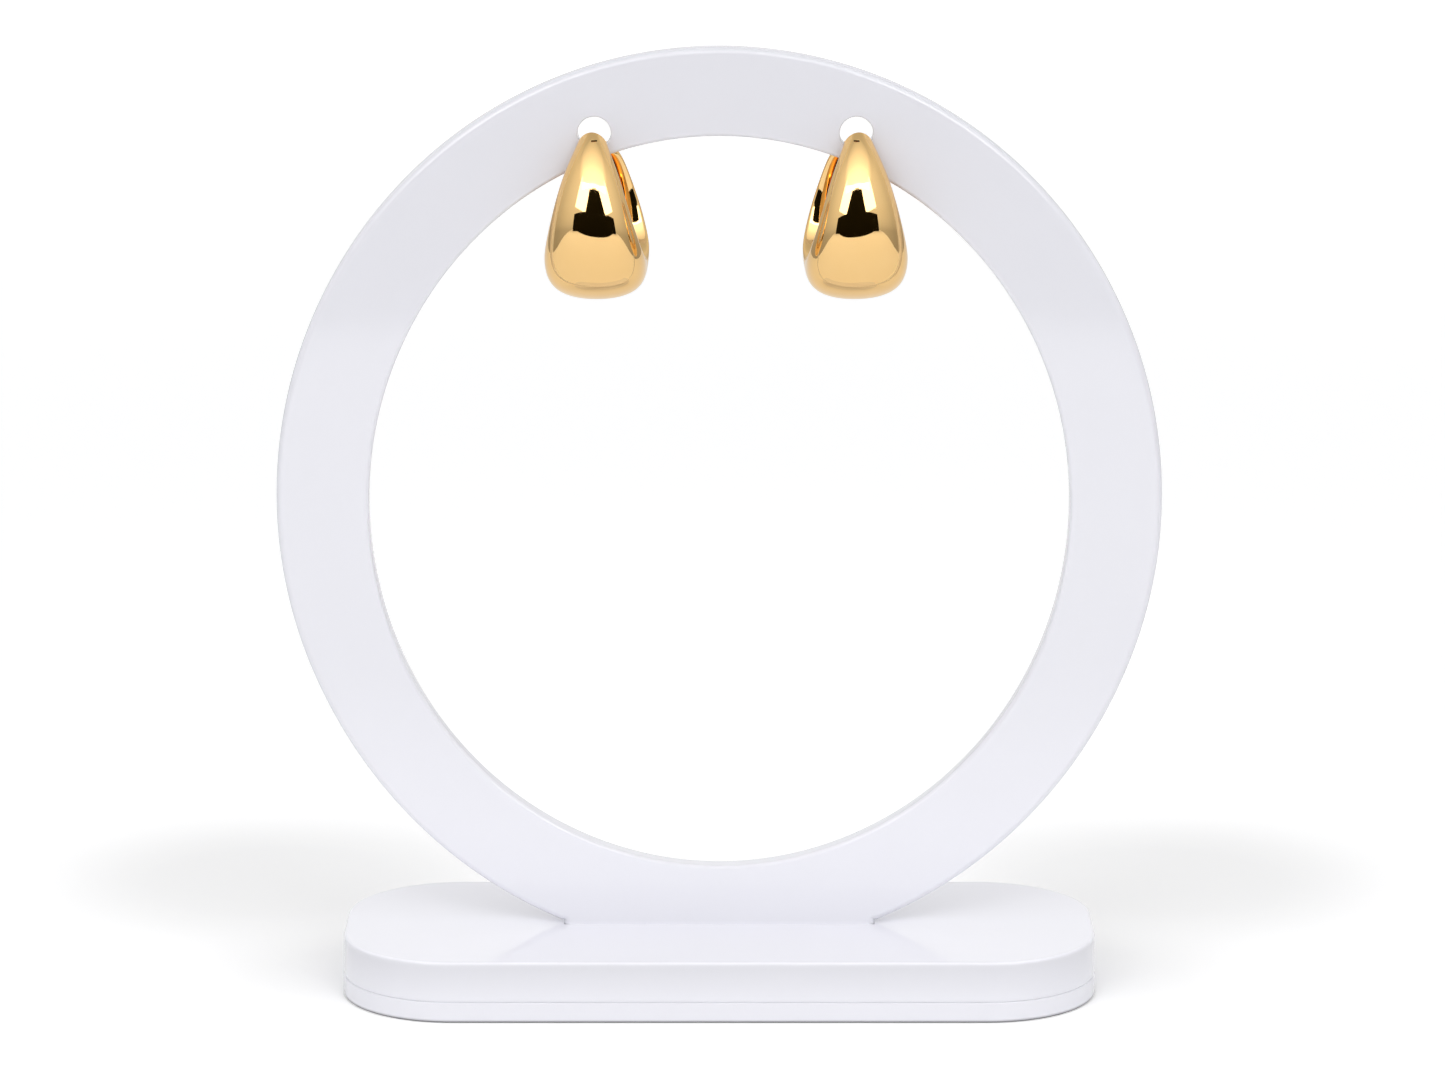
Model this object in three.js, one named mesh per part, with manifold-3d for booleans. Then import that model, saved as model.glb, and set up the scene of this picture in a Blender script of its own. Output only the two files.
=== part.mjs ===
// A pair of dome hoop earrings that hang on an upright ring-shaped acrylic stand.
// Millimetres, +Z up, +Y to the back. The origin is the middle of the base's underside.

import * as THREE from "three";
import * as BufferGeometryUtils from "three/addons/utils/BufferGeometryUtils.js";
import Module from "manifold-3d";

const wasm = await Module();
wasm.setup();

// Base: two stacked plates with round corners
const baseWidth = 136.3;
const baseDepth = 53.3;
const baseCornerRadius = 20.4;
const plateHeight = 3.8;
const plateOverhang = 0.1; // the lower plate reaches this far past the slab
const plateEdge = 0.4;
const slabHeight = 7.35;
const slabEdge = 0.6;

// Ring: a flat upright plate, a little taller than it is wide
const ringThickness = 4.1;
const ringHalfWidth = 79.5;
const ringHalfHeight = 81.9;
const ringEdge = 0.8;

// Width of the ring's band round its opening
const sideBand = 16.6;
const topBand = 15.8;
const bottomBand = 14.2;

// Foot of the ring, a tab that stands in a slot of the slab
const tabWidth = 56.5;
const tabClearance = 0.3;
const footFlare = 0.033; // how far the outline swells towards the foot, as a share
const footFlareAngle = 65; // degrees from straight down where the swelling starts
const footFillet = 0.8; // in the corner between the outline and the tab's side
const footRise = 1.43; // the corner lies this far above the base's top

// Hanging holes
const holeDiameter = 5.9;
const holeSpacing = 46.4;
const holeShift = 1.07; // the pair lies this far to the right of the ring's middle
const holeDrop = 15.25; // below the ring's top
const holeEdge = 0.25;

// Hoops
const hoopHeight = 30.3;
const hoopWidth = 18;
const hoopDepth = 22.8;
const hoopRise = 0.35; // the hoop's top lies this far above the hole's centre
const hoopGap = 0.3; // between metal and acrylic
const sectionBelly = 0.25; // share of a section's thickness on the inner side of its widest point
const innerFullness = 2.7; // the inner side's fullness, 2 for an ellipse and more for a boxier form
const tipRounding = 0.3;
const hoops = [
  { name: "left", side: -1, turnAngle: 6, leanAngle: 1 },
  { name: "right", side: 1, turnAngle: 6, leanAngle: 0.3 },
];

// Post, and the sockets in the hoop's ends that take it
const postDiameter = 0.9;
const postInset = 1.4; // how far each end of the post reaches into its socket
const socketClearance = 0.2;

// The small slot over the hinge of the post
const slotWidth = 1.0;
const slotHeight = 0.28;
const slotDepth = 0.5;
const slotDrop = 1.6; // below the hoop's top

const steps = { ring: 132, hole: 28, corner: 6, edge: 2, tip: 2, section: 24, loop: 52, post: 12 };

const acrylic = () => new THREE.MeshStandardMaterial({ color: 0xe9e9ee, roughness: 0.12, metalness: 0 });
const gold = () => new THREE.MeshStandardMaterial({ color: 0xe6b867, roughness: 0.08, metalness: 1 });

// Half of a hoop from its front tip to its bottom, a row for each section. Depths are shares of half
// the hoop's depth, heights are shares of its height above its lowest point, widths of half its width.
// Fullness is the outer side's: 2 for an ellipse and more for a boxier form.
const sections = [
  { outDepth: 0.35, outHeight: 1.0, inDepth: 0.25, inHeight: 0.893, width: 0.3, fullness: 2.0 },
  { outDepth: 0.61, outHeight: 0.896, inDepth: 0.33, inHeight: 0.829, width: 0.42, fullness: 2.1 },
  { outDepth: 0.87, outHeight: 0.705, inDepth: 0.445, inHeight: 0.711, width: 0.6, fullness: 2.2 },
  { outDepth: 1.0, outHeight: 0.434, inDepth: 0.491, inHeight: 0.546, width: 0.785, fullness: 2.3 },
  { outDepth: 0.84, outHeight: 0.186, inDepth: 0.4, inHeight: 0.398, width: 0.935, fullness: 2.4 },
  { outDepth: 0.48, outHeight: 0.048, inDepth: 0.226, inHeight: 0.312, width: 1.0, fullness: 2.5 },
];
const bottomSection = { outDepth: 0, outHeight: 0, inDepth: 0, inHeight: 0.282, width: 1.0, fullness: 2.5 };

// The rear half has the same rows, but for a slimmer end that stays hidden behind the front one.
const rearSections = [
  { outDepth: 0.34, outHeight: 0.948, inDepth: 0.25, inHeight: 0.875, width: 0.14, fullness: 2.0 },
  { outDepth: 0.5, outHeight: 0.905, inDepth: 0.3, inHeight: 0.85, width: 0.22, fullness: 2.0 },
  ...sections.slice(1),
];

function solidOf(geometry) {
  const bare = geometry.index ? geometry.toNonIndexed() : geometry.clone();
  bare.deleteAttribute("normal");
  bare.deleteAttribute("uv");
  const merged = BufferGeometryUtils.mergeVertices(bare, 1e-4);
  return new wasm.Manifold(new wasm.Mesh({
    numProp: 3,
    vertProperties: new Float32Array(merged.attributes.position.array),
    triVerts: new Uint32Array(merged.index.array),
  }));
}

function geometryOf(solid) {
  const mesh = solid.getMesh();
  const geometry = new THREE.BufferGeometry();
  geometry.setAttribute("position", new THREE.BufferAttribute(mesh.vertProperties, 3));
  geometry.setIndex(new THREE.BufferAttribute(mesh.triVerts, 1));
  return geometry;
}

// A closed skin over rings of points that all have the same count, with a flat fan at each end.
function loft(rings) {
  const count = rings[0].length;
  const corners = rings.flat().flatMap((point) => point.toArray());
  const faces = [];
  for (let r = 0; r + 1 < rings.length; r += 1) {
    for (let i = 0; i < count; i += 1) {
      const a = r * count + i;
      const b = r * count + (i + 1) % count;
      faces.push(a, b, b + count, a, b + count, a + count);
    }
  }
  const last = (rings.length - 1) * count;
  for (let i = 1; i + 1 < count; i += 1) {
    faces.push(0, i + 1, i);
    faces.push(last, last + i, last + i + 1);
  }
  const geometry = new THREE.BufferGeometry();
  geometry.setAttribute("position", new THREE.Float32BufferAttribute(corners, 3));
  geometry.setIndex(faces);
  return geometry;
}

function roundedRectangle(width, depth, radius) {
  const shape = new THREE.Shape();
  const x = width / 2 - radius;
  const y = depth / 2 - radius;
  shape.absarc(x, y, radius, 0, Math.PI / 2);
  shape.absarc(-x, y, radius, Math.PI / 2, Math.PI);
  shape.absarc(-x, -y, radius, Math.PI, Math.PI * 1.5);
  shape.absarc(x, -y, radius, Math.PI * 1.5, Math.PI * 2);
  return shape;
}

// A plate with rounded upper and lower edges, standing on height `bottom`.
function plateGeometry(width, depth, radius, height, edge, bottom) {
  const outline = roundedRectangle(width - 2 * edge, depth - 2 * edge, radius - edge);
  const geometry = new THREE.ExtrudeGeometry(outline, {
    depth: height - 2 * edge,
    bevelThickness: edge,
    bevelSize: edge,
    bevelSegments: steps.edge,
    curveSegments: steps.corner,
  });
  return geometry.translate(0, 0, bottom + edge);
}

function basePlate() {
  const width = baseWidth + 2 * plateOverhang;
  const depth = baseDepth + 2 * plateOverhang;
  const radius = baseCornerRadius + plateOverhang;
  return plateGeometry(width, depth, radius, plateHeight, plateEdge, 0);
}

function baseSlab() {
  const slab = plateGeometry(baseWidth, baseDepth, baseCornerRadius, slabHeight, slabEdge, plateHeight);
  const slotLength = tabWidth + 2 * tabClearance;
  const slot = new THREE.BoxGeometry(slotLength, ringThickness + 2 * tabClearance, 3 * slabHeight);
  slot.translate(0, 0, plateHeight + slabHeight / 2);
  return geometryOf(solidOf(slab).subtract(solidOf(slot)));
}

const baseTop = plateHeight + slabHeight;

// A point of the ring's outline, drawn inside its rounded edges and counted from the ring's centre.
// The outline swells towards the foot. The angle is counted from straight down.
function ringPoint(angle) {
  const fromFoot = Math.min(angle, 2 * Math.PI - angle);
  const nearness = Math.max(0, 1 - fromFoot / THREE.MathUtils.degToRad(footFlareAngle));
  const swell = 1 + footFlare * nearness ** 1.5;
  const x = (ringHalfWidth * swell - ringEdge) * Math.sin(angle);
  const z = -(ringHalfHeight * swell - ringEdge) * Math.cos(angle);
  return new THREE.Vector2(x, z);
}

// The ring stands with the corners of its foot just above the base.
const footSide = tabWidth / 2 - ringEdge;
const footAngle = Math.asin((footSide + footFillet) / ringHalfWidth);
const ringCentre = baseTop + footRise - ringPoint(footAngle).y;

// The ring's face, drawn inside its rounded edges: the outline with its tab, and the opening.
function ringFace() {
  const turn = 2 * (Math.PI - footAngle);
  const points = [];
  for (let i = 0; i <= steps.ring; i += 1) {
    const point = ringPoint(footAngle + (turn * i) / steps.ring);
    points.push(new THREE.Vector2(point.x, ringCentre + point.y));
  }
  const corner = points[0].y;
  const filletEnd = corner - footFillet;
  const face = new THREE.Shape(points);
  face.quadraticCurveTo(-footSide, corner, -footSide, filletEnd);
  face.lineTo(-footSide, plateHeight + ringEdge);
  face.lineTo(footSide, plateHeight + ringEdge);
  face.lineTo(footSide, filletEnd);
  face.quadraticCurveTo(footSide, corner, points[0].x, corner);
  const opening = new THREE.Path();
  const halfWidth = ringHalfWidth - sideBand + ringEdge;
  const halfHeight = ringHalfHeight - (topBand + bottomBand) / 2 + ringEdge;
  const centre = ringCentre - (topBand - bottomBand) / 2;
  opening.absellipse(0, centre, halfWidth, halfHeight, 0, 2 * Math.PI, true);
  face.holes.push(opening);
  return face;
}

function ringPlate() {
  const geometry = new THREE.ExtrudeGeometry(ringFace(), {
    depth: ringThickness - 2 * ringEdge,
    bevelThickness: ringEdge,
    bevelSize: ringEdge,
    bevelSegments: steps.edge,
    curveSegments: steps.ring / 2,
  });
  return geometry.translate(0, 0, ringEdge - ringThickness / 2).rotateX(Math.PI / 2);
}

// A cutter for one hanging hole, turned round Y, that widens to break the hole's rims.
function holeCutter() {
  const radius = holeDiameter / 2;
  const rim = radius + holeEdge;
  const face = ringThickness / 2;
  const profile = [
    [0, -ringThickness],
    [rim, -ringThickness],
    [rim, -face],
    [radius, -face + holeEdge],
    [radius, face - holeEdge],
    [rim, face],
    [rim, ringThickness],
    [0, ringThickness],
  ];
  return new THREE.LatheGeometry(profile.map(([x, y]) => new THREE.Vector2(x, y)), steps.hole);
}

const holeX = (side) => holeShift + (side * holeSpacing) / 2;
const holeZ = ringCentre + ringHalfHeight - holeDrop;

function displayRing() {
  let ring = solidOf(ringPlate());
  for (const hoop of hoops) {
    ring = ring.subtract(solidOf(holeCutter().translate(holeX(hoop.side), 0, holeZ)));
  }
  return geometryOf(ring);
}

// A hoop hangs with the hole's centre as its own origin. Its front is towards -Y.
const hoopBottom = hoopRise - hoopHeight;

function sectionRows() {
  const at = (side, depth, height) => {
    return new THREE.Vector3(0, (side * depth * hoopDepth) / 2, hoopBottom + height * hoopHeight);
  };
  const place = (row, side) => ({
    outer: at(side, row.outDepth, row.outHeight),
    inner: at(side, row.inDepth, row.inHeight),
    width: (row.width * hoopWidth) / 2,
    fullness: row.fullness,
  });
  const front = sections.map((row) => place(row, -1));
  const rear = rearSections.map((row) => place(row, 1)).reverse();
  return [...front, place(bottomSection, 1), ...rear];
}

// One section: a dome on the outer side and a flatter belly on the inner side.
function sectionRing(outer, inner, width, fullness) {
  const across = outer.clone().sub(inner);
  const middle = inner.clone().addScaledVector(across, sectionBelly);
  const ring = [];
  for (let i = 0; i < steps.section; i += 1) {
    const angle = (2 * Math.PI * i) / steps.section;
    const cos = Math.cos(angle);
    const sin = Math.sin(angle);
    const power = 2 / (sin > 0 ? fullness : innerFullness);
    const reach = sin > 0 ? 1 - sectionBelly : sectionBelly;
    const sideways = Math.sign(cos) * Math.abs(cos) ** power * width;
    const outward = Math.sign(sin) * Math.abs(sin) ** power * reach;
    ring.push(middle.clone().addScaledVector(across, outward).add(new THREE.Vector3(sideways, 0, 0)));
  }
  return ring;
}

function middleOf(points) {
  const sum = new THREE.Vector3();
  points.forEach((point) => sum.add(point));
  return sum.divideScalar(points.length);
}

// Rounds off one end of the hoop: smaller copies of its last section, each a little further out.
function tipRings(ring, neighbour) {
  const middle = middleOf(ring);
  const outward = middle.clone().sub(middleOf(neighbour)).normalize();
  const reach = middle.distanceTo(ring[0]);
  const rings = [];
  for (let i = 1; i <= steps.tip; i += 1) {
    const angle = ((Math.PI / 2) * i) / steps.tip;
    const share = 1 - (tipRounding / reach) * (1 - Math.cos(angle));
    const offset = outward.clone().multiplyScalar(tipRounding * Math.sin(angle));
    rings.push(ring.map((point) => point.clone().lerp(middle, 1 - share).add(offset)));
  }
  return rings;
}

const rows = sectionRows();
const outerCurve = new THREE.CatmullRomCurve3(rows.map((row) => row.outer));
const innerCurve = new THREE.CatmullRomCurve3(rows.map((row) => row.inner));
const forms = rows.map((row, i) => new THREE.Vector3(i, row.width, row.fullness));
const formCurve = new THREE.CatmullRomCurve3(forms);

function hoopBody() {
  const rings = [];
  for (let i = 0; i <= steps.loop; i += 1) {
    const t = i / steps.loop;
    const form = formCurve.getPoint(t);
    rings.push(sectionRing(outerCurve.getPoint(t), innerCurve.getPoint(t), form.y, form.z));
  }
  const frontTip = tipRings(rings[0], rings[1]).reverse();
  const rearTip = tipRings(rings[steps.loop], rings[steps.loop - 1]);
  return loft([...frontTip, ...rings, ...rearTip]);
}

// The post lies along Y, just clear of the lowest part of the hole that it passes through.
const postZ = postDiameter / 2 + hoopGap - holeDiameter / 2;
const postFront = rows[0].inner.y - postInset;
const postBack = rows[rows.length - 1].inner.y + postInset;

function rodAlongY(radius, front, back) {
  const geometry = new THREE.CylinderGeometry(radius, radius, back - front, steps.post);
  return geometry.translate(0, (front + back) / 2, postZ);
}

// A cutter for the hinge slot, which goes in from the hoop's front surface.
function slotCutter() {
  const height = hoopRise - slotDrop;
  let t = 0;
  while (outerCurve.getPoint(t).z > height) {
    t += 1 / (steps.loop * steps.section);
  }
  const surface = outerCurve.getPoint(t).y;
  const cutter = new THREE.BoxGeometry(slotWidth, 2 * slotDepth, slotHeight);
  return cutter.translate(0, surface, height);
}

function hoopGeometry() {
  const socketRadius = postDiameter / 2 + socketClearance;
  const sockets = rodAlongY(socketRadius, postFront - socketClearance, postBack + socketClearance);
  return geometryOf(solidOf(hoopBody()).subtract(solidOf(sockets)).subtract(solidOf(slotCutter())));
}

function hangAt(mesh, hoop) {
  mesh.position.set(holeX(hoop.side), 0, holeZ);
  const lean = THREE.MathUtils.degToRad(hoop.side * hoop.leanAngle);
  const turn = THREE.MathUtils.degToRad(hoop.side * hoop.turnAngle);
  mesh.rotation.set(0, lean, turn);
  return mesh;
}

function named(name, geometry, material) {
  const mesh = new THREE.Mesh(geometry, material);
  mesh.name = name;
  return mesh;
}

const stand = new THREE.Group();
stand.add(named("base_plate", basePlate(), acrylic()));
stand.add(named("base_slab", baseSlab(), acrylic()));
stand.add(named("display_ring", displayRing(), acrylic()));

const earrings = new THREE.Group();
for (const hoop of hoops) {
  earrings.add(hangAt(named(`hoop_${hoop.name}`, hoopGeometry(), gold()), hoop));
  const post = rodAlongY(postDiameter / 2, postFront, postBack);
  earrings.add(hangAt(named(`post_${hoop.name}`, post, gold()), hoop));
}

const object = new THREE.Group();
object.add(stand, earrings);
export default object;
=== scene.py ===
import math
import bmesh
import bpy
from mathutils import Matrix, Vector


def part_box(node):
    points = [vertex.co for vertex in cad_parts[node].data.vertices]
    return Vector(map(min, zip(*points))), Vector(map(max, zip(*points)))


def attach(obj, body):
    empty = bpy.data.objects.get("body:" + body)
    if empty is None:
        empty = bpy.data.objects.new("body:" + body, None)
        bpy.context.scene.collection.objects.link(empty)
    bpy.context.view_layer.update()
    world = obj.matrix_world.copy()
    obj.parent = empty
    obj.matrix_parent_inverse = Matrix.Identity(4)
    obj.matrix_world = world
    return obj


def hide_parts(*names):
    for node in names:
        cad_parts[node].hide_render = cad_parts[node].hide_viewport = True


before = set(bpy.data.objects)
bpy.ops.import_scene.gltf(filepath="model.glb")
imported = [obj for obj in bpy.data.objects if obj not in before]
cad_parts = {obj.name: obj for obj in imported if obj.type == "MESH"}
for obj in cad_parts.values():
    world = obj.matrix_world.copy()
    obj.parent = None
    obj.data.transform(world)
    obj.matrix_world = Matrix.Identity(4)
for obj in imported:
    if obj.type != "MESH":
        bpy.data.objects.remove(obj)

# Gold dome hoops on a white acrylic ring stand. Sizes in the dictionaries are in millimetres and
# degrees unless a note says otherwise. The frame itself is in metres, +Z up, -Y towards the viewer.
mm = 0.001
quarterTurn = math.radians(90)
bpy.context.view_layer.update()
print("frame loaded with", len(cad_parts), "nodes")


# Node trees, for materials and for Geometry Nodes alike

class Wire:
    def __init__(self, bench, socket):
        self.bench = bench
        self.socket = socket

    def __add__(self, other):
        return self.bench.maths("ADD", self, other)

    def __sub__(self, other):
        return self.bench.maths("SUBTRACT", self, other)

    def __rsub__(self, other):
        return self.bench.maths("SUBTRACT", other, self)

    def __mul__(self, other):
        return self.bench.maths("MULTIPLY", self, other)

    def __truediv__(self, other):
        return self.bench.maths("DIVIDE", self, other)


class Bench:
    def __init__(self, tree):
        self.tree = tree

    # Settings come first, because some of them change which sockets a node has. Stops fill a colour ramp.
    def add(self, kind, settings=None, sockets=None, output=0):
        node = self.tree.nodes.new(kind)
        for name, value in (settings or {}).items():
            if name == "stops":
                ramp = node.color_ramp
                while len(ramp.elements) < len(value):
                    ramp.elements.new(0.5)
                for element, (place, shade) in zip(ramp.elements, value):
                    element.position = place
                    element.color = (shade, shade, shade, 1)
            else:
                setattr(node, name, value)
        for name, value in (sockets or {}).items():
            if isinstance(value, Wire):
                self.tree.links.new(value.socket, node.inputs[name])
            else:
                node.inputs[name].default_value = value
        return Wire(self, node.outputs[output]) if node.outputs else None

    def maths(self, operation, first, second=0.0):
        return self.add("ShaderNodeMath", {"operation": operation}, {0: first, 1: second})

    def vectors(self, operation, first, second=(0, 0, 0)):
        return self.add("ShaderNodeVectorMath", {"operation": operation}, {0: first, 1: second})

    def scaled(self, vector, factor):
        return self.add("ShaderNodeVectorMath", {"operation": "SCALE"}, {0: vector, "Scale": factor})

    def blend(self, mask, first, second):
        return self.add("ShaderNodeMix", {"data_type": "RGBA"}, {0: mask, 6: first, 7: second}, output=2)


# The object's own coordinates, which start at the frame's origin
def ownPlace(bench):
    return bench.add("ShaderNodeTexCoord", output=3)


def coordinates(bench, vector):
    split = bench.add("ShaderNodeSeparateXYZ", None, {0: vector})
    return [Wire(bench, socket) for socket in split.socket.node.outputs]


# Plain meshes

def meshPiece(name, points, faces):
    mesh = bpy.data.meshes.new(name)
    mesh.from_pydata(points, [], faces)
    piece = bpy.data.objects.new(name, mesh)
    bpy.context.scene.collection.objects.link(piece)
    faceOutwards(piece)
    return piece


def faceOutwards(piece):
    shell = bmesh.new()
    shell.from_mesh(piece.data)
    bmesh.ops.recalc_face_normals(shell, faces=shell.faces)
    shell.to_mesh(piece.data)
    shell.free()


# Quads between rows of points that all have the same count, each row closed in itself
def quadsBetween(rowCount, perRow, closed):
    faces = []
    for row in range(rowCount if closed else rowCount - 1):
        following = (row + 1) % rowCount
        here = row * perRow
        there = following * perRow
        for i in range(perRow):
            j = (i + 1) % perRow
            faces.append((here + i, here + j, there + j, there + i))
    return faces


# A solid over closed outlines that stand one above the next, with a flat face at each end
def stackedOutlines(name, outlines):
    perRow = len(outlines[0])
    points = [point for outline in outlines for point in outline]
    faces = quadsBetween(len(outlines), perRow, False)
    last = len(points) - perRow
    faces.append(tuple(range(perRow)))
    faces.append(tuple(range(last, last + perRow)))
    return meshPiece(name, points, faces)


# Turns what the modifiers make into the piece's own plain mesh
def settle(piece):
    graph = bpy.context.evaluated_depsgraph_get()
    mesh = bpy.data.meshes.new_from_object(piece.evaluated_get(graph), depsgraph=graph)
    piece.modifiers.clear()
    old = piece.data
    piece.data = mesh
    mesh.name = piece.name
    bpy.data.meshes.remove(old)


def cutAway(piece, *cutters):
    for cutter in cutters:
        cut = piece.modifiers.new("cut", "BOOLEAN")
        cut.operation = "DIFFERENCE"
        cut.solver = "EXACT"
        cut.object = cutter
    settle(piece)
    for cutter in cutters:
        bpy.data.objects.remove(cutter)


# Smooth shading that breaks at real corners and, where asked, stays flat on the flat faces
def shadeLikeMetalwork(piece, cornerAngle, flatFaces):
    piece.data.shade_smooth()
    piece.data.set_sharp_from_angle(angle=math.radians(cornerAngle))
    if flatFaces:
        weights = piece.modifiers.new("flat faces", "WEIGHTED_NORMAL")
        weights.keep_sharp = True
        weights.weight = 100  # the larger face decides
        settle(piece)


def finishPiece(piece, material, node):
    piece.data.materials.clear()
    piece.data.materials.append(material)
    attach(piece, "root")
    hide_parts(node)


# Materials

acrylicLook = {
    "pale": (0.925, 0.925, 0.985, 1),
    "deep": (0.905, 0.905, 0.965, 1),
    # painted light and shade by height in millimetres: a painted dark shadow line at the foot, painted
    # shade on the walls that deepens under the base's top, the base's top lightest, and the ring painted
    # darker than the base's top and darker again higher up
    "paintedShadeByHeight": [(0.0, 0.15), (0.3, 0.3), (0.55, 0.87), (4.5, 0.87), (10.2, 0.765), (10.7, 0.8), (11.0, 0.985),
              (11.2, 0.98), (11.7, 0.9), (30.0, 0.9), (60.0, 0.835)],
    "paintedShadeHeight": 60.0,
    "cloudScale": 45.0,  # each scale is per metre
    "cloudDetail": 4.0,
    "cloudRoughness": 0.55,
    "roughness": 0.06,
    "roughnessSpread": 0.03,
    "waveScale": 160.0,
    "waveHeight": 0.004,  # the slow waviness of a moulded sheet
    "scratchScale": 900.0,
    "scratchTurn": (0.3, 0.5, 0.7),  # radians
    "scratchRoughness": 0.1,
    "refraction": 1.49,
    "shine": 0.75,
}

goldLook = {
    "warm": (0.89, 0.58, 0.24, 1),
    "light": (0.91, 0.61, 0.27, 1),
    "cloudScale": 220.0,
    "cloudDetail": 3.0,
    "cloudRoughness": 0.5,
    "roughness": 0.035,
    "roughnessSpread": 0.02,
    "waveScale": 260.0,
    "waveHeight": 0.0012,  # what hand polishing leaves
    "scratchScale": 2600.0,
    "scratchTurn": (0.9, 0.2, 0.4),
    "scratchRoughness": 0.05,
}

hairline = {
    "stretch": 0.03,  # the smaller, the longer the scratches
    "detail": 2.0,
    "roughness": 0.4,
    "crests": [(0.66, 0.0), (0.74, 1.0)],  # from which height of the noise a scratch shows
}


def newMaterial(name):
    material = bpy.data.materials.new(name)
    material.use_nodes = True
    shader = material.node_tree.nodes["Principled BSDF"]
    return material, Bench(material.node_tree), shader


def feed(bench, wire, shader, socketName):
    bench.tree.links.new(wire.socket, shader.inputs[socketName])


# Hairline scratches: a noise drawn out along one direction, of which only the highest crests stay
def hairlines(bench, place, scale, turn):
    turned = bench.add("ShaderNodeMapping", None, {
        "Vector": place, "Rotation": turn, "Scale": (scale * hairline["stretch"], scale, scale)})
    noise = bench.add("ShaderNodeTexNoise", {"noise_dimensions": "3D"}, {
        "Vector": turned, "Scale": 1.0, "Detail": hairline["detail"], "Roughness": hairline["roughness"]})
    return bench.add("ShaderNodeValToRGB", {"stops": hairline["crests"]}, {"Fac": noise})


def clouds(bench, place, look):
    return bench.add("ShaderNodeTexNoise", None, {
        "Vector": place, "Scale": look["cloudScale"], "Detail": look["cloudDetail"],
        "Roughness": look["cloudRoughness"]})


# What both materials share: a polish that is a little cloudy, scratched and wavy
def polish(bench, place, cloud, look, shader):
    scratches = hairlines(bench, place, look["scratchScale"], look["scratchTurn"])
    spread = cloud * look["roughnessSpread"] + look["roughness"] - look["roughnessSpread"] / 2
    feed(bench, spread + scratches * look["scratchRoughness"], shader, "Roughness")
    waves = bench.add("ShaderNodeTexNoise", None, {
        "Vector": place, "Scale": look["waveScale"], "Detail": 1.0})
    bump = bench.add("ShaderNodeBump", None, {
        "Strength": 1.0, "Distance": look["waveHeight"] * mm, "Height": waves})
    feed(bench, bump, shader, "Normal")


def whiteAcrylic():
    look = acrylicLook
    material, bench, shader = newMaterial("whiteAcrylic")
    place = ownPlace(bench)
    cloud = clouds(bench, place, look)
    height = coordinates(bench, place)[2]
    # Painted light and shade: a ramp by height multiplied into the base colour
    stops = [(level / look["paintedShadeHeight"], paintedShade) for level, paintedShade in look["paintedShadeByHeight"]]
    paintedShade = bench.add("ShaderNodeValToRGB", {"stops": stops}, {"Fac": height / (look["paintedShadeHeight"] * mm)})
    plain = bench.blend(cloud, look["deep"], look["pale"])
    feed(bench, bench.vectors("MULTIPLY", plain, paintedShade), shader, "Base Color")
    polish(bench, place, cloud, look, shader)
    shader.inputs["IOR"].default_value = look["refraction"]
    shader.inputs["Specular IOR Level"].default_value = look["shine"]
    return material


def polishedGold():
    look = goldLook
    material, bench, shader = newMaterial("polishedGold")
    place = ownPlace(bench)
    cloud = clouds(bench, place, look)
    feed(bench, bench.blend(cloud, look["warm"], look["light"]), shader, "Base Color")
    polish(bench, place, cloud, look, shader)
    shader.inputs["Metallic"].default_value = 1.0
    return material


acrylic = whiteAcrylic()
gold = polishedGold()
print("materials made")


# The base: two plates of one rounded outline

base = {
    "cornerRadius": 20.4,
    "slabEdges": (0.2, 0.6),  # lower and upper edge
    "plateEdges": (0.4, 0.35),
    "cornerSteps": 40,
    "edgeSteps": 6,
    "cornerAngle": 40,  # what is sharper than this is shaded as a corner
    "slotGap": 0.02,  # the ring's foot stands tight in its slot
}


def roundedOutline(halfWidth, halfDepth, radius, height):
    points = []
    for corner, (x, y) in enumerate([(1, 1), (-1, 1), (-1, -1), (1, -1)]):
        for i in range(base["cornerSteps"] + 1):
            angle = quarterTurn * (corner + i / base["cornerSteps"])
            points.append((x * (halfWidth - radius) + radius * math.cos(angle),
                           y * (halfDepth - radius) + radius * math.sin(angle), height))
    return points


def roundedPlate(name, node, edges):
    low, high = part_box(node)
    halfWidth = (high.x - low.x) / 2
    halfDepth = (high.y - low.y) / 2
    radius = base["cornerRadius"] * mm
    outlines = []
    for side, height, edge in [(-1, low.z, edges[0] * mm), (1, high.z, edges[1] * mm)]:
        for i in range(base["edgeSteps"] + 1):
            share = i if side < 0 else base["edgeSteps"] - i
            angle = quarterTurn * share / base["edgeSteps"]
            inset = edge * (1 - math.sin(angle))
            level = height - side * edge * (1 - math.cos(angle))
            outlines.append(roundedOutline(halfWidth - inset, halfDepth - inset, radius - inset, level))
    return stackedOutlines(name, outlines)


def boxCutter(low, high):
    outline = [(low[0], low[1]), (high[0], low[1]), (high[0], high[1]), (low[0], high[1])]
    return stackedOutlines("cutter", [[(x, y, z) for x, y in outline] for z in (low[2], high[2])])


def basePlate():
    plate = roundedPlate("basePlate", "base_plate", base["plateEdges"])
    shadeLikeMetalwork(plate, base["cornerAngle"], True)
    return plate


def baseSlab():
    slab = roundedPlate("baseSlab", "base_slab", base["slabEdges"])
    low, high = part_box("base_slab")
    gap = base["slotGap"] * mm
    halfTab = ring["tabWidth"] / 2 * mm + gap
    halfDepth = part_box("display_ring")[1].y + gap
    cutAway(slab, boxCutter((-halfTab, -halfDepth, low.z - mm), (halfTab, halfDepth, high.z + mm)))
    shadeLikeMetalwork(slab, base["cornerAngle"], True)
    return slab


# The ring, with its opening, its foot and the two holes that the earrings hang in

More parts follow.
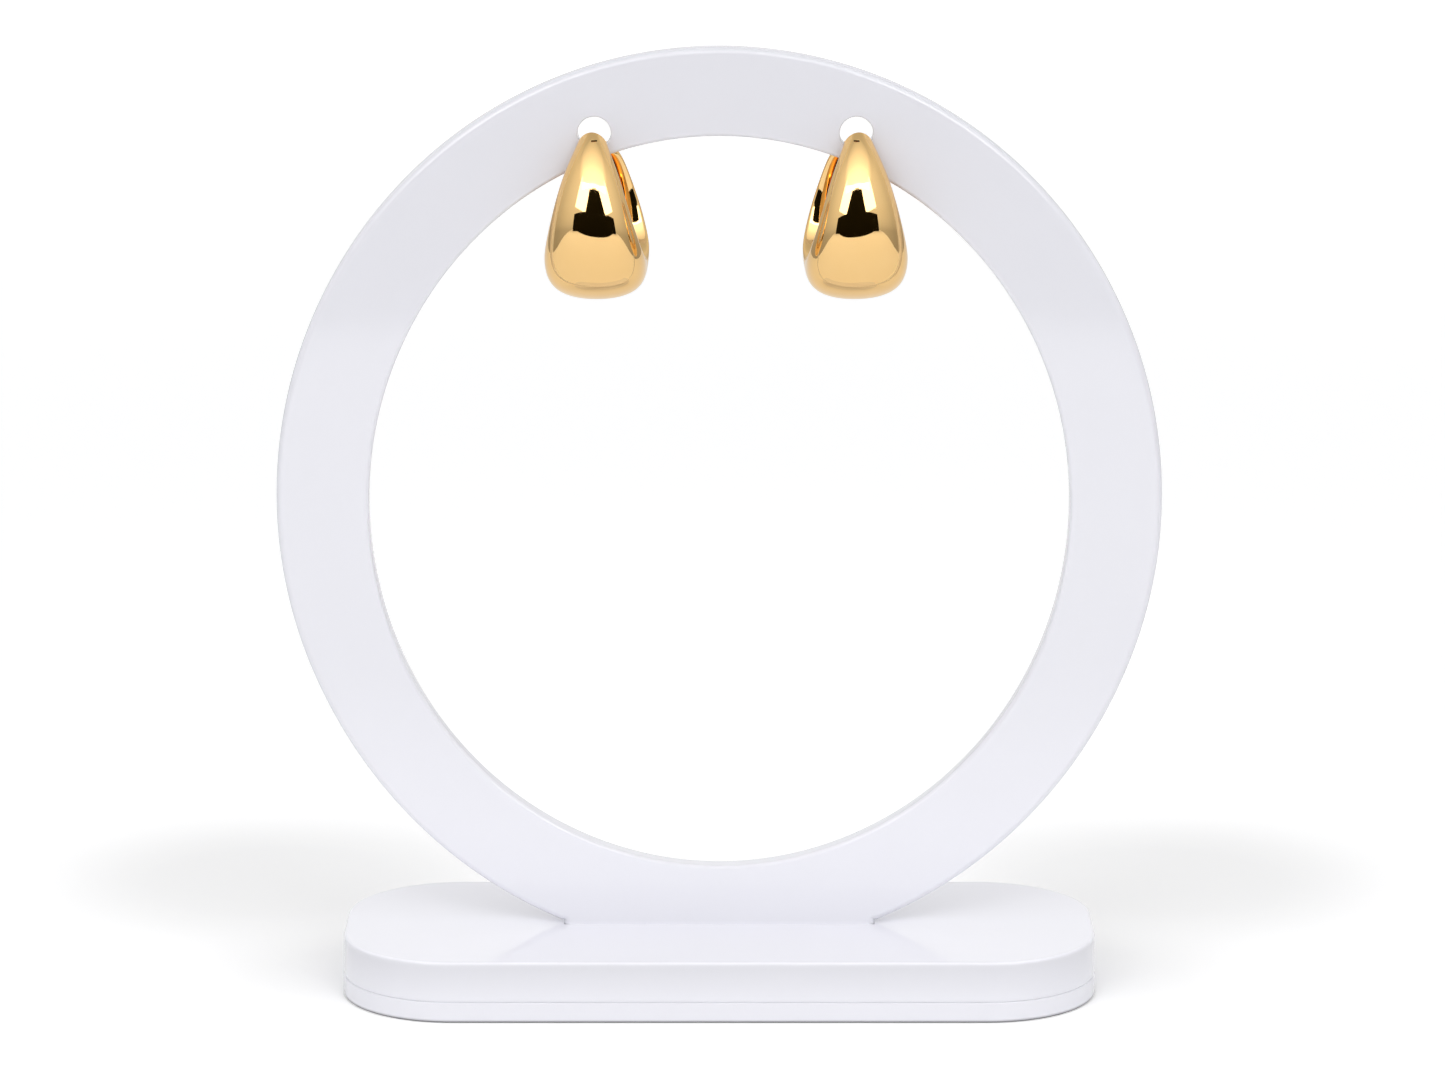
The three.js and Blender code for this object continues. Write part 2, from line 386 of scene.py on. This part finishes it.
ring = {
    "halfWidth": 79.5,
    "halfHeight": 81.9,
    "sideBand": 16.6,
    "topBand": 15.8,
    "bottomBand": 14.2,
    "outerEdge": 1.25,
    "innerEdge": 0.7,
    "tabWidth": 56.5,
    "footFlare": 0.033,  # share that the outline has grown by at the foot
    "footFlareAngle": 65,
    "footFlareCurve": 1.5,
    "footFillet": 1.4,
    "holeDiameter": 5.9,
    "holeSpacing": 46.4,
    "holeShift": 1.07,
    "holeDrop": 15.25,
    "holeEdge": 0.3,
    "arcSteps": 360,
    "filletSteps": 8,
    "footSteps": 30,
    "edgeSteps": 6,
    "holeSteps": 96,
    "mitreLimit": 0.5,  # keeps a sharp corner from moving out too far
    "cornerAngle": 40,
}

ringLow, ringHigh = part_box("display_ring")
ringCentre = ringHigh.z - ring["halfHeight"] * mm
holeZ = ringHigh.z - ring["holeDrop"] * mm


def holeX(side):
    return (ring["holeShift"] + side * ring["holeSpacing"] / 2) * mm


# The outline inside its rounded edge, counted from straight down, as it swells towards the foot
def ringPoint(angle):
    fromFoot = min(angle, 2 * math.pi - angle)
    nearness = max(0.0, 1 - fromFoot / math.radians(ring["footFlareAngle"]))
    swell = 1 + ring["footFlare"] * nearness ** ring["footFlareCurve"]
    x = (ring["halfWidth"] * swell - ring["outerEdge"]) * mm * math.sin(angle)
    z = ringCentre - (ring["halfHeight"] * swell - ring["outerEdge"]) * mm * math.cos(angle)
    return Vector((x, z))


def outerOutline():
    side = (ring["tabWidth"] / 2 - ring["outerEdge"]) * mm
    fillet = ring["footFillet"] * mm
    footAngle = math.asin((side + fillet) / (ring["halfWidth"] * mm))
    turn = 2 * (math.pi - footAngle)
    arc = [ringPoint(footAngle + turn * i / ring["arcSteps"]) for i in range(ring["arcSteps"] + 1)]
    start = arc[0]
    corner = Vector((side, start.y))
    end = Vector((side, start.y - fillet))
    bend = []
    for i in range(1, ring["filletSteps"] + 1):
        t = i / ring["filletSteps"]
        bend.append(start * (1 - t) ** 2 + corner * 2 * t * (1 - t) + end * t ** 2)
    bottom = ringLow.z + ring["outerEdge"] * mm
    foot = []
    for i in range(ring["footSteps"] + 1):
        foot.append(Vector((-side + 2 * side * i / ring["footSteps"], bottom)))
    mirrored = [Vector((-point.x, point.y)) for point in bend]
    return arc + mirrored + foot + bend[::-1]


# Moves each point of a closed outline out along its own normal
def offsetOutline(points, distance):
    moved = []
    for i, point in enumerate(points):
        before = (point - points[i - 1]).normalized()
        after = (points[(i + 1) % len(points)] - point).normalized()
        along = (before + after).normalized()
        reach = distance / max(ring["mitreLimit"], along.dot(after))
        moved.append(point + Vector((along.y, -along.x)) * reach)
    return moved


def openingOutline(count):
    halfWidth = (ring["halfWidth"] - ring["sideBand"] + ring["innerEdge"]) * mm
    meanBand = (ring["topBand"] + ring["bottomBand"]) / 2
    halfHeight = (ring["halfHeight"] - meanBand + ring["innerEdge"]) * mm
    centre = ringCentre - (ring["topBand"] - ring["bottomBand"]) / 2 * mm
    footAngle = math.asin(ring["tabWidth"] / 2 / ring["halfWidth"])
    arcCount = ring["arcSteps"] + 1
    points = []
    for i in range(count):
        if i < arcCount:
            angle = footAngle + 2 * (math.pi - footAngle) * i / (arcCount - 1)
        else:
            angle = -footAngle + 2 * footAngle * (i - arcCount + 1) / (count - arcCount + 1)
        points.append(Vector((halfWidth * math.sin(angle), centre - halfHeight * math.cos(angle))))
    return points


def holeCutter(side):
    radius = ring["holeDiameter"] / 2 * mm
    edge = ring["holeEdge"] * mm
    face = ringHigh.y
    profile = [(radius + edge, 2 * face)]
    for i in range(ring["edgeSteps"] + 1):
        angle = quarterTurn * i / ring["edgeSteps"]
        profile.append((radius + edge * (1 - math.sin(angle)), face - edge * (1 - math.cos(angle))))
    profile += [(reach, -y) for reach, y in reversed(profile)]
    turns = [2 * math.pi * i / ring["holeSteps"] for i in range(ring["holeSteps"])]
    rows = []
    for reach, y in profile:
        rows.append([(holeX(side) + reach * math.cos(a), y, holeZ + reach * math.sin(a)) for a in turns])
    return stackedOutlines("cutter", rows)


# The band's section is followed round, from the front's outer edge by the back to the front's inner edge.
# Each step of it is one closed outline in the plane of the ring.
def displayRing():
    outer = outerOutline()
    inner = openingOutline(len(outer))
    half = ringHigh.y
    steps = ring["edgeSteps"]
    outlines = []
    for line, edge, first in [(outer, ring["outerEdge"] * mm, -1), (inner, ring["innerEdge"] * mm, 1)]:
        for face in (first, -first):
            for i in range(steps + 1):
                angle = quarterTurn * (i if face == first else steps - i) / steps
                y = face * (half - edge * (1 - math.cos(angle)))
                moved = offsetOutline(line, -first * edge * math.sin(angle))
                outlines.append([(point.x, y, point.y) for point in moved])
    points = [point for outline in outlines for point in outline]
    band = meshPiece("displayRing", points, quadsBetween(len(outlines), len(outer), True))
    cutAway(band, holeCutter(-1), holeCutter(1))
    shadeLikeMetalwork(band, ring["cornerAngle"], True)
    return band


finishPiece(basePlate(), acrylic, "base_plate")
finishPiece(baseSlab(), acrylic, "base_slab")
finishPiece(displayRing(), acrylic, "display_ring")
print("stand made")


# The hoops: one smooth skin over fourteen sections, from the front tip round the bottom to the rear tip

hoop = {
    "height": 30.3,
    "width": 18.0,
    "depth": 22.8,
    "rise": 0.35,  # of the hoop's top above the hole's centre
    "frontBelly": 0.25,  # share of a section that lies inside its widest line
    "rearBelly": 0.13,
    "innerSquareness": 0.11,  # 0 for a rounded inner side, more for a flatter one with a tight rim
    "tipRounding": 0.3,
    "tipCentre": 0.25,  # share of a section beyond its widest line, towards which its tip closes
    "aroundSteps": 96,
    "rowsPerSection": 18,
    "tipRows": 6,
    "squareness": 0.12,  # how fast fullness over 2 pushes a section out of round
    "smoothingPasses": 60,
    "cornerAngle": 50,
    "left": {"side": -1, "turn": 6, "lean": 1},
    "right": {"side": 1, "turn": 6, "lean": 0.3},
}

# From the front tip to the bottom: depth and height of the outer and the inner line as shares of half
# the depth and of the height, width as a share of half the width, and fullness, 2 for an ellipse.
hoopSections = [
    (0.35, 1.0, 0.25, 0.893, 0.3, 2.0),
    (0.61, 0.896, 0.33, 0.829, 0.42, 2.1),
    (0.87, 0.705, 0.445, 0.711, 0.6, 2.2),
    (1.0, 0.434, 0.491, 0.546, 0.785, 2.3),
    (0.84, 0.186, 0.4, 0.398, 0.935, 2.4),
    (0.48, 0.048, 0.226, 0.312, 1.0, 2.5),
]
hoopBottom = (0.0, 0.0, 0.0, 0.282, 1.0, 2.5)
# The rear half has these two in place of the first section
hoopRearTip = [
    (0.34, 0.948, 0.25, 0.875, 0.14, 2.0),
    (0.5, 0.905, 0.3, 0.85, 0.22, 2.0),
]


# Each row: depth and height of the outer line, then of the inner line, half the width, fullness and belly
def hoopRows():
    front = hoopSections + [hoopBottom]
    rear = hoopRearTip + hoopSections[1:]
    stations = [(-1, hoop["frontBelly"], section) for section in front]
    stations += [(1, hoop["rearBelly"], section) for section in reversed(rear)]
    foot = hoop["rise"] - hoop["height"]
    rows = []
    for side, belly, section in stations:
        outDepth, outHeight, inDepth, inHeight, width, fullness = section
        rows.append([
            side * outDepth * hoop["depth"] / 2 * mm, (foot + outHeight * hoop["height"]) * mm,
            side * inDepth * hoop["depth"] / 2 * mm, (foot + inHeight * hoop["height"]) * mm,
            width * hoop["width"] / 2 * mm, fullness, belly])
    return rows


# Control values of the smooth curve that passes through every row and runs straight at its ends. It
# passes a control with 1/6 of each neighbour, or 1/4 of a neighbour next to the curve's end.
def smoothControls(rows):
    last = len(rows) - 1
    controls = [list(row) for row in [rows[0]] + rows + [rows[-1]]]
    for _ in range(hoop["smoothingPasses"]):
        for k in range(len(rows[0])):
            for i in range(1, last):
                left = 1 / 4 if i == 1 else 1 / 6
                right = 1 / 4 if i == last - 1 else 1 / 6
                sides = left * controls[i][k] + right * controls[i + 2][k]
                controls[i + 1][k] = (rows[i][k] - sides) / (1 - left - right)
            controls[1][k] = (2 * controls[0][k] + controls[2][k]) / 3
            controls[-2][k] = (2 * controls[-1][k] + controls[-3][k]) / 3
    return controls


# Two chains of points, the outer line and the inner line, that the tree below turns into a hoop
def hoopGuides(name):
    controls = smoothControls(hoopRows())
    count = len(controls)
    points = [(0, row[0], row[1]) for row in controls]
    points += [(0, row[2], row[3]) for row in controls]
    edges = [(first + i, first + i + 1) for first in (0, count) for i in range(count - 1)]
    mesh = bpy.data.meshes.new(name)
    mesh.from_pydata(points, edges, [])
    everyRow = controls + controls
    notes = {
        "inside": [float(i >= count) for i in range(len(everyRow))],
        "halfWidth": [row[4] for row in everyRow],
        "fullness": [row[5] for row in everyRow],
        "belly": [row[6] for row in everyRow],
    }
    for note, values in notes.items():
        mesh.attributes.new(note, "FLOAT", "POINT").data.foreach_set("value", values)
    guides = bpy.data.objects.new(name, mesh)
    bpy.context.scene.collection.objects.link(guides)
    return guides


def hoopTree():
    tree = bpy.data.node_groups.new("hoopLoft", "GeometryNodeTree")
    for name, kind in [("Geometry", "Geometry"), ("Rows Per Section", "Int"), ("Steps Around", "Int"),
                       ("Tip Rows", "Int"), ("Inner Squareness", "Float"), ("Squareness", "Float"),
                       ("Tip Rounding", "Float"), ("Tip Centre", "Float"), ("Place", "Vector"),
                       ("Turn", "Vector")]:
        tree.interface.new_socket(name, in_out="INPUT", socket_type="NodeSocket" + kind)
    tree.interface.new_socket("Geometry", in_out="OUTPUT", socket_type="NodeSocketGeometry")
    bench = Bench(tree)
    entry = tree.nodes.new("NodeGroupInput")
    given = {socket.name: Wire(bench, socket) for socket in entry.outputs if socket.name}

    def named(name):
        return bench.add("GeometryNodeInputNamedAttribute", {"data_type": "FLOAT"}, {"Name": name})

    # The two guide lines as smooth curves, with the same number of points on each
    inside = bench.maths("GREATER_THAN", named("inside"), 0.5)
    lines = {}
    for output, line in enumerate(["inner", "outer"]):
        chain = bench.add("GeometryNodeSeparateGeometry", {"domain": "POINT"}, {
            "Geometry": given["Geometry"], "Selection": inside}, output=output)
        curve = bench.add("GeometryNodeMeshToCurve", None, {"Mesh": chain})
        smooth = bench.add("GeometryNodeCurveSplineType", {"spline_type": "NURBS"}, {"Curve": curve})
        fine = bench.add("GeometryNodeSetSplineResolution", None, {
            "Geometry": smooth, "Resolution": given["Rows Per Section"]})
        lines[line] = bench.add("GeometryNodeCurveToPoints", {"mode": "EVALUATED"}, {"Curve": fine})
    rowCount = bench.add("GeometryNodeAttributeDomainSize", {"component": "POINTCLOUD"}, {
        "Geometry": lines["outer"]})

    # A plain tube with a row for each of those points, and a few more rows for the rounded tips
    steps, tipRows = given["Steps Around"], given["Tip Rows"]
    circle = bench.add("GeometryNodeCurvePrimitiveCircle", None, {"Resolution": steps, "Radius": 1.0})
    path = bench.add("GeometryNodeCurvePrimitiveLine")
    path = bench.add("GeometryNodeResampleCurve", None, {"Curve": path, "Count": rowCount + tipRows * 2})
    tube = bench.add("GeometryNodeCurveToMesh", None, {
        "Curve": path, "Profile Curve": circle, "Fill Caps": True})
    index = bench.add("GeometryNodeInputIndex")
    row = bench.maths("FLOOR", (index + 0.5) / steps)
    around = (index - row * steps) / steps * (2 * math.pi)
    lastRow = rowCount - 1
    station = bench.maths("MAXIMUM", bench.maths("MINIMUM", row - tipRows, lastRow), 0.0)
    beyondFront = bench.maths("MAXIMUM", tipRows - row, 0.0)
    beyondRear = bench.maths("MAXIMUM", row - tipRows - lastRow, 0.0)
    tipAngle = (beyondFront + beyondRear) / tipRows * (math.pi / 2)

    # What the guide lines say at a row
    position = bench.add("GeometryNodeInputPosition")

    def sampled(line, value, kind, at):
        return bench.add("GeometryNodeSampleIndex", {"data_type": kind, "domain": "POINT", "clamp": True}, {
            "Geometry": lines[line], "Value": value, "Index": at})

    outer = sampled("outer", position, "FLOAT_VECTOR", station)
    inner = sampled("inner", position, "FLOAT_VECTOR", station)
    halfWidth = sampled("outer", named("halfWidth"), "FLOAT", station)
    fullness = sampled("outer", named("fullness"), "FLOAT", station)
    belly = sampled("outer", named("belly"), "FLOAT", station)
    across = bench.vectors("SUBTRACT", outer, inner)

    # The section: an ellipse pushed out of round by a wave with three crests, and fuller on its outer side
    push = (fullness - 2.0) * given["Squareness"]
    innerPush = given["Inner Squareness"]
    sine = bench.maths("SINE", around)
    cosine = bench.maths("COSINE", around)
    sineWave = bench.maths("SINE", around * 3.0)
    cosineWave = bench.maths("COSINE", around * 3.0)
    sideways = (cosine - push * cosineWave) / (1.0 - push)
    dome = (sine + push * sineWave) / (1.0 - push) * 0.5 + sine * sine * (0.5 - belly)
    under = (sine + innerPush * sineWave) / (1.0 - innerPush) * belly
    inwards = bench.maths("LESS_THAN", sine, 0.0)
    outward = bench.add("ShaderNodeMix", None, {0: inwards, 2: dome, 3: under}) + belly
    point = bench.vectors("ADD", inner, bench.scaled(across, outward))
    shift = bench.add("ShaderNodeCombineXYZ", None, {"X": sideways * halfWidth})
    point = bench.vectors("ADD", point, shift)

    # The tips: each further row is a little smaller and a little further out
    middle = bench.vectors("ADD", inner, bench.scaled(across, belly + given["Tip Centre"]))
    inward = bench.add("GeometryNodeSwitch", {"input_type": "FLOAT"}, {
        "Switch": bench.maths("GREATER_THAN", beyondRear, 0.5), "False": 1.0, "True": -1.0})
    before = station + inward
    neighbourOuter = sampled("outer", position, "FLOAT_VECTOR", before)
    neighbourInner = sampled("inner", position, "FLOAT_VECTOR", before)
    neighbour = bench.scaled(bench.vectors("ADD", neighbourOuter, neighbourInner), 0.5)
    here = bench.scaled(bench.vectors("ADD", outer, inner), 0.5)
    outwards = bench.vectors("NORMALIZE", bench.vectors("SUBTRACT", here, neighbour))
    rounding = given["Tip Rounding"]
    shrink = rounding * (1.0 - bench.maths("COSINE", tipAngle)) / halfWidth
    offset = bench.scaled(outwards, rounding * bench.maths("SINE", tipAngle))
    point = bench.vectors("ADD", point, bench.scaled(bench.vectors("SUBTRACT", middle, point), shrink))
    point = bench.vectors("ADD", point, offset)

    body = bench.add("GeometryNodeSetPosition", None, {"Geometry": tube, "Position": point})
    body = bench.add("GeometryNodeTransform", None, {
        "Geometry": body, "Translation": given["Place"], "Rotation": given["Turn"]})
    bench.add("NodeGroupOutput", None, {"Geometry": body})
    return tree


def hoopTurn(pose):
    return (0.0, math.radians(pose["side"] * pose["lean"]), math.radians(pose["side"] * pose["turn"]))


def hoopBody(name, tree, pose):
    body = hoopGuides(name)
    loft = body.modifiers.new("loft", "NODES")
    loft.node_group = tree
    values = {
        "Rows Per Section": hoop["rowsPerSection"],
        "Steps Around": hoop["aroundSteps"],
        "Tip Rows": hoop["tipRows"],
        "Inner Squareness": hoop["innerSquareness"],
        "Squareness": hoop["squareness"],
        "Tip Rounding": hoop["tipRounding"] * mm,
        "Tip Centre": hoop["tipCentre"],
        "Place": (holeX(pose["side"]), 0.0, holeZ),
        "Turn": hoopTurn(pose),
    }
    for item in tree.interface.items_tree:
        if item.in_out == "INPUT" and item.name in values:
            loft[item.identifier] = values[item.name]
    settle(body)
    faceOutwards(body)
    return body


# The post, its sockets and the hinge slot share the hoop's own turned frame

post = {
    "diameter": 0.9,
    "inset": 1.4,
    "socketGap": 0.2,
    "socketRounding": 0.05,
    "holeGap": 0.3,
    "endRounding": 0.2,
    "endSteps": 4,
    "steps": 32,
    "cornerAngle": 60,
    "slotWidth": 1.0,
    "slotHeight": 0.28,
    "slotDepth": 0.5,
    "slotDrop": 1.25,
    "slotShift": 0.6,  # towards the middle of the stand
    "slotBulge": 0.15,  # how far the front bulges out past a straight line between its sections
}


def inHoopFrame(piece, pose):
    turn = hoopTurn(pose)
    place = Matrix.Translation((holeX(pose["side"]), 0, holeZ))
    piece.data.transform(place @ Matrix.Rotation(turn[1], 4, "Y") @ Matrix.Rotation(turn[2], 4, "Z"))
    return piece


# A rod along Y through the lower part of the hole
def rod(name, radius, reach, rounding):
    height = (post["diameter"] / 2 + post["holeGap"] - ring["holeDiameter"] / 2) * mm
    steps = post["endSteps"]
    turns = [2 * math.pi * k / post["steps"] for k in range(post["steps"])]
    rows = []
    for side in (-1, 1):
        for i in range(steps + 1):
            angle = quarterTurn * (i if side < 0 else steps - i) / steps
            size = radius - rounding * (1 - math.sin(angle))
            y = side * (reach - rounding * (1 - math.cos(angle)))
            rows.append([(size * math.cos(a), y, height + size * math.sin(a)) for a in turns])
    return stackedOutlines(name, rows)


def postReach():
    return (hoopSections[0][2] * hoop["depth"] / 2 + post["inset"]) * mm


def earPost(name, pose):
    piece = rod(name, post["diameter"] / 2 * mm, postReach(), post["endRounding"] * mm)
    shadeLikeMetalwork(inHoopFrame(piece, pose), post["cornerAngle"], False)
    return piece


# The front's depth at a height before the hoop is turned, along straight lines between the sections
def frontSurface(height):
    rows = hoopRows()
    for upper, lower in zip(rows, rows[1:]):
        if lower[1] <= height <= upper[1]:
            share = (upper[1] - height) / (upper[1] - lower[1])
            return upper[0] + (lower[0] - upper[0]) * share
    return rows[0][0]


def hingeSlot(pose):
    height = (hoop["rise"] - post["slotDrop"]) * mm
    surface = frontSurface(height) - post["slotBulge"] * mm
    halfWidth = post["slotWidth"] / 2 * mm
    halfHeight = post["slotHeight"] / 2 * mm
    depth = post["slotDepth"] * mm
    shift = -pose["side"] * post["slotShift"] * mm
    low = (shift - halfWidth, surface - depth, height - halfHeight)
    high = (shift + halfWidth, surface + depth, height + halfHeight)
    return inHoopFrame(boxCutter(low, high), pose)


def domeHoop(name, tree, pose):
    body = hoopBody(name, tree, pose)
    gap = post["socketGap"] * mm
    radius = post["diameter"] / 2 * mm + gap
    sockets = rod("cutter", radius, postReach() + gap, post["socketRounding"] * mm)
    cutAway(body, inHoopFrame(sockets, pose), hingeSlot(pose))
    shadeLikeMetalwork(body, hoop["cornerAngle"], False)
    return body


loftTree = hoopTree()
for label in ("left", "right"):
    hoopPiece = domeHoop("hoop" + label.capitalize(), loftTree, hoop[label])
    finishPiece(hoopPiece, gold, "hoop_" + label)
    finishPiece(earPost("post" + label.capitalize(), hoop[label]), gold, "post_" + label)
    print(label, "earring made with", len(hoopPiece.data.polygons), "faces")


# The studio: a pale floor, two front softboxes, a broad overhead panel and a dark screen round the camera

# Here lengths are in metres, and light levels have 1 for white.
studio = {
    "floorColour": (0.95, 0.95, 0.955, 1),
    "floorRoughness": 0.7,
    "nearGlow": 0.03,
    "farGlow": 0.15,  # what the camera sees outside the painted soft shadows
    "horizonGlow": 0.22,
    "horizonFade": (0.2, 2.0),
    # painted soft shadows at either side, where the floor's glow is left out: the middle, and how far from
    # it the painted shadow begins to fade and ends
    "paintedNearShadow": ((0.07, 0.01, 0), 0.005, 0.04),
    "paintedFarShadow": ((0.086, 0.066, 0), 0.02, 0.06),
    # how bright the walls are, from straight down to straight up
    "wallLight": [(0.33, 0.38), (0.47, 0.43), (0.51, 0.55), (0.56, 0.64), (0.64, 0.73), (0.8, 0.84),
                  (0.98, 0.62)],
    "wallSide": 0.95,
    "wallFront": 1.3,
    "wallFrontFade": (-0.05, -0.75),  # depth of the direction looked in, minus towards the front
    "backdrop": 0.25,  # what the pale backdrop adds straight behind the stand
    "backdropFade": (0.85, 0.95),
    "cameraWhite": 1.05,  # the room as the camera sees it
    "overheadSize": (2.0, 1.4),
    "overheadPlace": (0.0, -0.8, 1.05),
    # from its front edge to its rear edge
    "overheadRadiance": [(0.0, 4.8), (0.1, 4.6), (0.15, 2.2), (0.21, 2.1), (0.4, 1.95), (0.6, 1.45),
                         (0.86, 0.95), (1.0, 0.7)],
    "overheadFade": (0.3, 0.5),  # shares of its width
    "softboxSize": (0.86, 0.66),
    "softboxPlace": (0.615, -1.34, 0.8),
    "softboxRadiance": 2.3,
    "softboxRoll": 12,  # degrees
    "softboxTarget": (0, 0, 0.15),
    "screenDistance": 1.25,
    # half the outline of the dark screen, wide below and narrow above
    "screenOutline": [(1.1, -0.2), (1.1, 0.43), (0.44, 0.43), (0.28, 0.86)],
    "screenColour": (0.012, 0.01, 0.004, 1),
}

# Edge of the floor's sheet as seen from above: degrees round from the front, and metres away
floorEdge = [(0, 0.66), (10, 0.69), (20, 0.83), (28, 1.15), (34, 1.9), (40, 2.6), (50, 1.5), (60, 0.95),
             (80, 0.5), (100, 0.45), (130, 0.9), (150, 2.6), (180, 3.4)]


def softStep(bench, value, start, end, low, high):
    return bench.add("ShaderNodeMapRange", {"interpolation_type": "SMOOTHSTEP"}, {
        "Value": value, "From Min": start, "From Max": end, "To Min": low, "To Max": high})


def paleFloor():
    half = [(math.radians(degrees), distance) for degrees, distance in floorEdge]
    right = [(distance * math.sin(a), -distance * math.cos(a), 0) for a, distance in half]
    left = [(-x, y, z) for x, y, z in right[-2:0:-1]]
    points = right + left
    floor = meshPiece("floor", points, [tuple(range(len(points)))])
    material, bench, shader = newMaterial("paleFloor")
    shader.inputs["Base Color"].default_value = studio["floorColour"]
    shader.inputs["Roughness"].default_value = studio["floorRoughness"]
    across, depth, _ = coordinates(bench, ownPlace(bench))
    folded = bench.add("ShaderNodeCombineXYZ", None, {0: bench.maths("ABSOLUTE", across), 1: depth})

    # A level that is 0 in the middle of a painted soft shadow beside the stand and rises to the given one
    # outside
    def outside(shadow, level):
        middle, start, end = shadow
        apart = bench.add("ShaderNodeVectorMath", {"operation": "DISTANCE"}, {
            0: folded, 1: middle}, output=1)
        return softStep(bench, apart, start, end, 0.0, level)

    # Painted shadows: the glow the camera sees is left out in soft patches beside the stand
    glow = outside(studio["paintedNearShadow"], 1.0) * outside(studio["paintedFarShadow"], studio["farGlow"])
    glow = glow + outside(((0, 0, 0), *studio["horizonFade"]), studio["horizonGlow"])
    seenByCamera = bench.add("ShaderNodeLightPath")
    glow = glow * seenByCamera + studio["nearGlow"]
    colour = bench.add("ShaderNodeCombineColor", None, {0: glow, 1: glow, 2: glow})
    feed(bench, colour, shader, "Emission Color")
    shader.inputs["Emission Strength"].default_value = 1.0
    floor.data.materials.append(material)


def softbox(name, side):
    width, height = studio["softboxSize"]
    lamp = bpy.data.lights.new(name, "AREA")
    lamp.shape = "RECTANGLE"
    lamp.size = width
    lamp.size_y = height
    lamp.energy = studio["softboxRadiance"] * math.pi * width * height
    box = bpy.data.objects.new(name, lamp)
    x, y, z = studio["softboxPlace"]
    place = Vector((side * x, y, z))
    aim = (Vector(studio["softboxTarget"]) - place).to_track_quat("-Z", "Y").to_matrix()
    roll = Matrix.Rotation(math.radians(side * studio["softboxRoll"]), 3, "Z")
    box.location = place
    box.rotation_euler = (aim @ roll).to_euler()
    box.visible_camera = False
    bpy.context.scene.collection.objects.link(box)


# The overhead panel is a sheet of light that fades from front to back and softly at its sides.
def overheadPanel():
    width, depth = studio["overheadSize"]
    x, y, z = studio["overheadPlace"]
    points = [(x - width / 2, y - depth / 2, z), (x + width / 2, y - depth / 2, z),
              (x + width / 2, y + depth / 2, z), (x - width / 2, y + depth / 2, z)]
    panel = meshPiece("overheadPanel", points, [(3, 2, 1, 0)])
    material, bench, shader = newMaterial("overheadPanel")
    across, along, _ = coordinates(bench, ownPlace(bench))
    level = bench.add("ShaderNodeValToRGB", {"stops": studio["overheadRadiance"]}, {
        "Fac": (along - (y - depth / 2)) / depth})
    start, end = studio["overheadFade"]
    side = softStep(bench, bench.maths("ABSOLUTE", across), width * start, width * end, 1.0, 0.0)
    feed(bench, level, shader, "Emission Color")
    feed(bench, side, shader, "Alpha")
    shader.inputs["Emission Strength"].default_value = 1.0
    shader.inputs["Base Color"].default_value = (0, 0, 0, 1)
    shader.inputs["Specular IOR Level"].default_value = 0.0
    panel.data.materials.append(material)
    panel.visible_camera = False


def darkScreen():
    right = [(x, -studio["screenDistance"], z) for x, z in studio["screenOutline"]]
    points = right + [(-x, y, z) for x, y, z in reversed(right)]
    screen = meshPiece("screen", points, [tuple(range(len(points)))])
    material, bench, shader = newMaterial("darkScreen")
    shader.inputs["Base Color"].default_value = studio["screenColour"]
    shader.inputs["Roughness"].default_value = 1.0
    shader.inputs["Specular IOR Level"].default_value = 0.0
    screen.data.materials.append(material)
    screen.visible_camera = False


# The room is white where the camera sees it and greyer where the metal mirrors it.
def room():
    world = bpy.data.worlds.new("room")
    bpy.context.scene.world = world
    world.use_nodes = True
    world.node_tree.nodes.clear()
    bench = Bench(world.node_tree)
    seenByCamera = bench.add("ShaderNodeLightPath")
    _, depth, height = coordinates(bench, bench.add("ShaderNodeTexCoord"))
    level = bench.add("ShaderNodeValToRGB", {"stops": studio["wallLight"]}, {"Fac": height * 0.5 + 0.5})
    start, end = studio["wallFrontFade"]
    front = bench.add("ShaderNodeMapRange", None, {
        "Value": depth, "From Min": start, "From Max": end,
        "To Min": studio["wallSide"], "To Max": studio["wallFront"]})
    behind = softStep(bench, depth, *studio["backdropFade"], 0.0, studio["backdrop"])
    walls = bench.add("ShaderNodeBackground", None, {"Color": bench.scaled(level, front), "Strength": 1.0})
    extra = bench.add("ShaderNodeBackground", None, {"Color": (1, 1, 1, 1), "Strength": behind})
    walls = bench.add("ShaderNodeAddShader", None, {0: walls, 1: extra})
    white = bench.add("ShaderNodeBackground", None, {
        "Color": (1, 1, 1, 1), "Strength": studio["cameraWhite"]})
    both = bench.add("ShaderNodeMixShader", None, {0: seenByCamera, 1: walls, 2: white})
    bench.add("ShaderNodeOutputWorld", None, {"Surface": both})


paleFloor()
darkScreen()
room()
softbox("softboxLeft", -1)
softbox("softboxRight", 1)
overheadPanel()
bpy.context.scene.view_settings.view_transform = "Standard"
print("studio made")


# The camera, a long lens that looks a little down

view = {
    "distance": 1006.2,
    "pitch": 12.4,
    "aimHeight": 82.06,
    "aimSide": 0.58,
    "lens": 139.27,
    "sensor": 36.0,
    "clip": (50, 20000),
}


def photoCamera():
    lens = bpy.data.cameras.new("camera")
    lens.lens = view["lens"]
    lens.sensor_width = view["sensor"]
    lens.clip_start = view["clip"][0] * mm
    lens.clip_end = view["clip"][1] * mm
    camera = bpy.data.objects.new("camera", lens)
    pitch = math.radians(view["pitch"])
    camera.location = (view["aimSide"] * mm, -view["distance"] * math.cos(pitch) * mm,
                       (view["aimHeight"] + view["distance"] * math.sin(pitch)) * mm)
    camera.rotation_euler = (quarterTurn - pitch, 0, 0)
    bpy.context.scene.collection.objects.link(camera)
    bpy.context.scene.camera = camera


photoCamera()
print("camera made")
